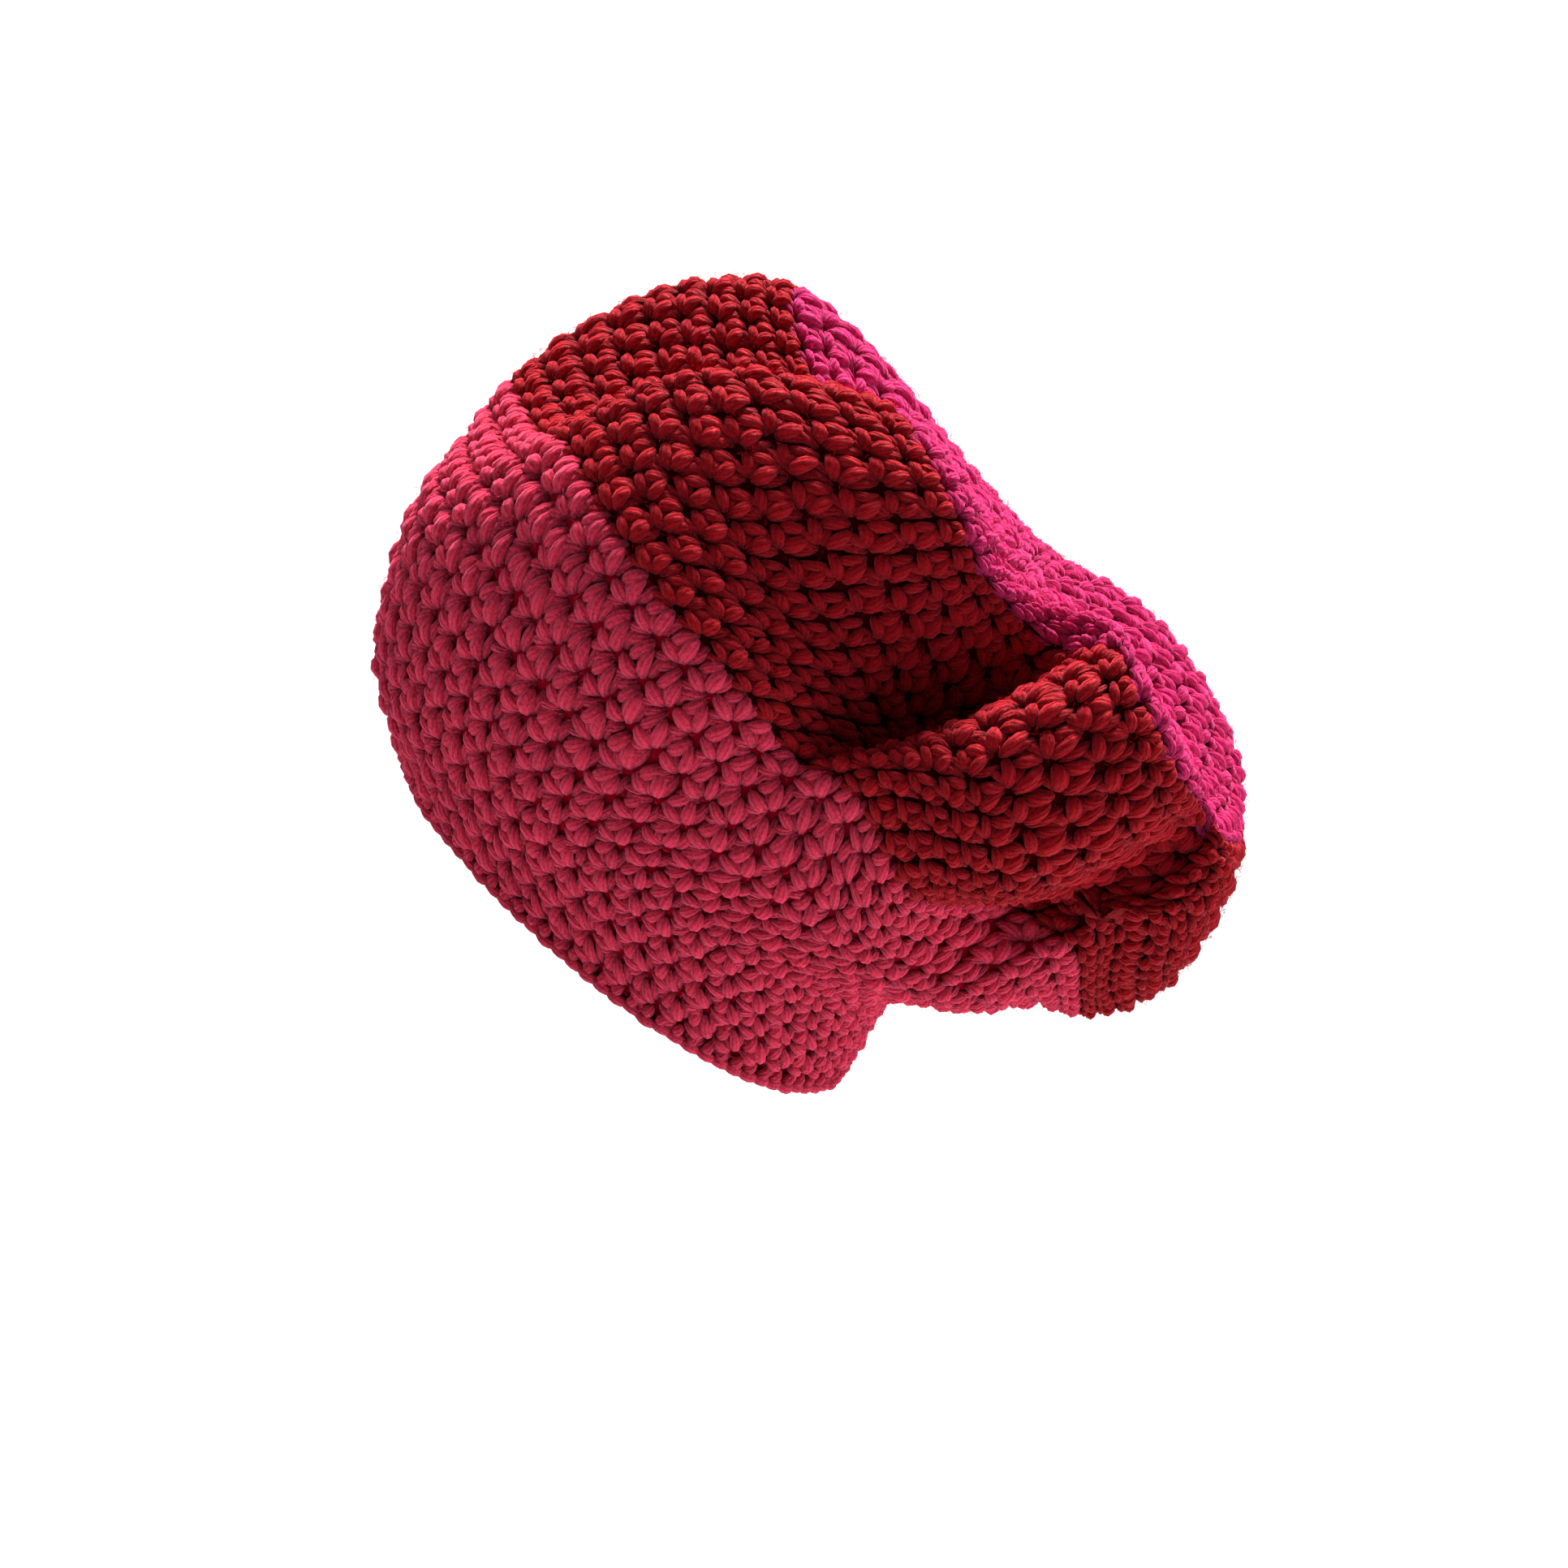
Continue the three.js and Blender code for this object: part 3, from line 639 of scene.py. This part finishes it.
def brim_edge(band, pitch=7.0, rings=5, sides=7):
    """One link of each kind every pitch along the edge. Its x runs against the round, so that
    x, y and height keep the turn of a right hand and the faces point out of the yarn."""
    length = LENGTHS[0, -1]
    count = int(round(length / pitch))
    rows = np.tile(EDGE, (count, 1))
    corners = table_spindles(rows, rows[:, :9] + chance.normal(0, 0.25, (len(rows), 9)), rings, sides)
    link = np.repeat(np.arange(count), len(EDGE))[:, None]
    at = ((link + 0.5) / count * length - corners[..., 0]) % length
    degrees = np.interp(at, LENGTHS[0], ROUND_DEGREES)
    points = on_fabric(degrees, share_at(corners[..., 1] / ROUND_HEIGHT), corners[..., 2])
    deep = np.repeat(np.tile(EDGE_PAINTED_SHADE, count)[:, None], corners.shape[1], 1)
    tint = np.repeat(chance.uniform(0, 1, len(rows))[:, None], corners.shape[1], 1)
    spindle_piece("brim_edge", points, rings, sides, {"deep": deep, "tint": tint}, band["yarn"])


brim_edge(BANDS["lower_band"])

# %% [markdown]
# ## The inside
# Inside, the same stitches show their backs: rows of short bars, two to a stitch. They are seen
# only through the opening, so two spindles a stitch with few faces are enough.

# %% Bars on the inner face
#   along, up and out of the start, the highest point and the end, then width, thick, belly
BARS = np.array([
    [-7.4, 2.6, -5.0, 0.0, 3.4, -7.0, 7.4, 4.2, -5.0, 5.6, 3.4, 1.0],
    [-7.4, 9.6, -5.0, 0.0, 10.4, -6.8, 7.4, 11.2, -5.0, 5.6, 3.4, 1.0],
])
# painted shade of the inner bars: how much darker they are drawn
BAR_PAINTED_SHADE = 0.2


def inner_bars(name, band, rings=3, sides=5):
    """The bars of every round of one colour, straight along the round, with x against it as
    at the edge of the brim."""
    made = []
    for n in rounds_of(band):
        rows = np.tile(BARS, (STITCHES[n], 1))
        corners = table_spindles(rows, rows[:, :9] + chance.normal(0, 0.3, (len(rows), 9)), rings, sides)
        stitch = np.repeat(np.arange(STITCHES[n]), len(BARS))[:, None]
        x, y = turned(-corners[..., 0], corners[..., 1])
        made.append(place(n, stitch, x, y, corners[..., 2]))
    points = np.concatenate(made)
    count = points.shape[0] * points.shape[1]
    spindle_piece(f"{name}_inner_bars", points, rings, sides,
                  {"deep": np.full(count, BAR_PAINTED_SHADE), "tint": chance.uniform(0, 1, count)},
                  band["yarn"])


for band_name, band in BANDS.items():
    inner_bars(band_name, band)

# %% [markdown]
# ## Fluff
# Stray fibres stand off the yarn and blur its outline against the light. Hair curves would give
# them too, but the model has to leave Blender as a mesh, so each fibre is the same spindle with
# 3 sides and 1 ring: 6 triangles. Half of them arch over a loop and half end in the air.

# %% Stray fibres
def band_fluff(band_name, band):
    """Fibres start anywhere in a stitch, run a random way and rise to a random height."""
    made, per_stitch = [], band["fibres"]
    for n in rounds_of(band):
        count = STITCHES[n] * per_stitch
        start = np.stack([chance.uniform(-9, 5, count), chance.uniform(0, 13, count),
                          chance.uniform(-1.6, 0.3, count)], -1)
        angle, length = chance.uniform(0, 2 * np.pi, count), chance.uniform(2.0, 5.5, count)
        free = chance.uniform(0, 1, count) < 0.5
        run = np.stack([np.cos(angle), np.sin(angle), 0 * angle], -1) * length[:, None]
        rise = np.where(free, chance.uniform(0.6, 2.6, count), -0.6)
        end = start + run * np.where(free, 0.7, 1.0)[:, None]
        end[:, 2] += rise
        middle = (start + end) / 2 + chance.normal(0, 0.35, (count, 3))
        middle[:, 2] += np.where(free, 0.2, 1.4)
        thin = chance.uniform(0.12, 0.2, count)
        corners = spindles(start, middle, end, thin, thin, np.ones(count), rings=1, sides=3)
        stitch = np.repeat(np.arange(STITCHES[n]), per_stitch)[:, None]
        made.append(place(n, stitch, corners[..., 0], corners[..., 1], corners[..., 2] + 0.2))
    spindle_piece(f"{band_name}_fluff", np.concatenate(made), 1, 3, {}, band["fluff"])


for band_name, band in BANDS.items():
    band_fluff(band_name, band)

# %% [markdown]
# ## The cloth behind
# Between the loops the real fabric shows more yarn, in shade. A closed sheet about 1 mm thick
# runs inside the wall behind the stitches: its section is a long flat ring, carried round the
# hat. It is coloured in the yarn's shade colour, painted shade for the yarn in those gaps. It also
# stops light from leaking through. Each colour has its own, and these sheets stand for the plain
# CAD walls. The crown's sheet ends in two fans of triangles at the pole.

# %% A sheet in the middle of the wall
BRIM_GAP = 0.004  # the share at which the first sheet starts, just above the edge cord
POLE_RING = 0.985  # the share of the last ring, where the fans of the crown's sheet begin


def backing(band_name, band, outer=-4.2, inner=-5.2, columns=160, rows=24):
    """The section goes up the outer face and back down the inner one. Where the band ends at the
    pole, the step between the faces is left out and each face gets its middle point."""
    first, last = band["shares"]
    at_pole = last == 1.0
    first, last = max(first, BRIM_GAP), min(last, POLE_RING)
    share = np.linspace(first, last, rows)
    section = np.concatenate([share, share[::-1]])
    height = np.concatenate([np.full(rows, outer), np.full(rows, inner)])
    degrees = np.arange(columns) / columns * 360 - 180
    points = on_fabric(np.tile(degrees, (2 * rows, 1)), np.repeat(section[:, None], columns, 1),
                       np.repeat(height[:, None], columns, 1))
    i, j = np.meshgrid(np.arange(2 * rows), np.arange(columns), indexing="ij")
    i, j = i.ravel(), j.ravel()
    if at_pole:
        i, j = i[i != rows - 1], j[i != rows - 1]
    up, on = (i + 1) % (2 * rows), (j + 1) % columns
    quads = np.stack([i * columns + j, up * columns + j, up * columns + on, i * columns + on], -1)
    points = points.reshape(-1, 3)
    fans = np.zeros((0, 3), int)
    if at_pole:
        middle = points.reshape(2 * rows, columns, 3)[[rows - 1, rows]].mean(1)
        j = np.arange(columns)
        on, edge = (j + 1) % columns, (rows - 1) * columns
        fans = np.concatenate([np.stack([edge + j, len(points) + 0 * j, edge + on], -1),
                               np.stack([edge + columns + on, len(points) + 1 + 0 * j, edge + columns + j], -1)])
        points = np.concatenate([points, middle])
    uv = np.zeros((4 * len(quads) + 3 * len(fans), 2))
    return yarn_piece(f"{band_name}_backing", points, quads, fans, uv, {}, band["shaded"])


for band_name, band in BANDS.items():
    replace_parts(backing(band_name, band), band_name)

# %% [markdown]
# ## Floor, light and camera
# The reference is lit softly from above, on white. Area lights could do it, but they are near
# and small, and the hat would be brighter on one side. Three suns with wide discs stand for a
# window and the pale walls of a room, a pale world fills the shade, and the floor is a plain
# white plane well below the hat, which is held up as a head would hold it. A white card lightens
# the nape from below. The camera looks down on the wearer's left side.

# %% Stage
FLOOR_LEVEL = -1.1


def plain_floor(half=40.0):
    """A square plane, pale and matt."""
    mesh = bpy.data.meshes.new("floor")
    corners = [(x * half, y * half, FLOOR_LEVEL) for x, y in ((-1, -1), (1, -1), (1, 1), (-1, 1))]
    mesh.from_pydata(corners, [], [(0, 1, 2, 3)])
    material = bpy.data.materials.new("floor_paint")
    material.use_nodes = True
    shader = material.node_tree.nodes["Principled BSDF"]
    shader.inputs["Base Color"].default_value = (0.32, 0.32, 0.32, 1)
    shader.inputs["Roughness"].default_value = 0.9
    mesh.materials.append(material)
    floor = bpy.data.objects.new("floor", mesh)
    bpy.context.scene.collection.objects.link(floor)


def soft_sun(name, comes_from, spread, strength):
    """A sun light that shines from a direction, its disc spread degrees wide."""
    light = bpy.data.lights.new(name, "SUN")
    light.angle = np.radians(spread)
    light.energy = strength
    lamp = bpy.data.objects.new(name, light)
    lamp.rotation_euler = (-Vector(comes_from)).to_track_quat("-Z", "Y").to_euler()
    bpy.context.scene.collection.objects.link(lamp)


def reflector(name, place, towards, size, power):
    """A square area light that faces a point, as a white card would. The camera doesn't see it."""
    light = bpy.data.lights.new(name, "AREA")
    light.size = size
    light.energy = power
    lamp = bpy.data.objects.new(name, light)
    lamp.location = place
    lamp.rotation_euler = (Vector(towards) - Vector(place)).to_track_quat("-Z", "Y").to_euler()
    lamp.visible_camera = False
    bpy.context.scene.collection.objects.link(lamp)


plain_floor()
world = bpy.data.worlds.new("studio")
world.use_nodes = True
world.node_tree.nodes["Background"].inputs["Color"].default_value = (1, 1, 1, 1)
world.node_tree.nodes["Background"].inputs["Strength"].default_value = 0.2
bpy.context.scene.world = world
soft_sun("window", (-0.72, 0.3, 1.0), 24, 12.5)
soft_sun("wall on the right", (0.3, 1.0, 0.15), 50, 0.4)
soft_sun("wall on the left", (0.0, -1.0, 0.3), 60, 0.4)
reflector("card below on the right", (0.37, 0.9, -0.57), (0.0, 0.06, 0.05), 0.7, 6.0)
bpy.context.scene.view_settings.view_transform = "Standard"
bpy.context.scene.view_settings.look = "None"

CAMERA_TARGET = Vector((0.0, 0.0599, 0.0529))
CAMERA_PLACE = Vector((1.2688, 0.0599, 0.6446))
camera_data = bpy.data.cameras.new("camera")
camera_data.lens = 83.5
camera_data.sensor_width = 36
camera = bpy.data.objects.new("camera", camera_data)
camera.location = CAMERA_PLACE
camera.rotation_euler = (CAMERA_TARGET - CAMERA_PLACE).to_track_quat("-Z", "Y").to_euler()
bpy.context.scene.collection.objects.link(camera)
bpy.context.scene.camera = camera
print("camera is", round((CAMERA_TARGET - CAMERA_PLACE).length, 3), "m from the hat's middle")
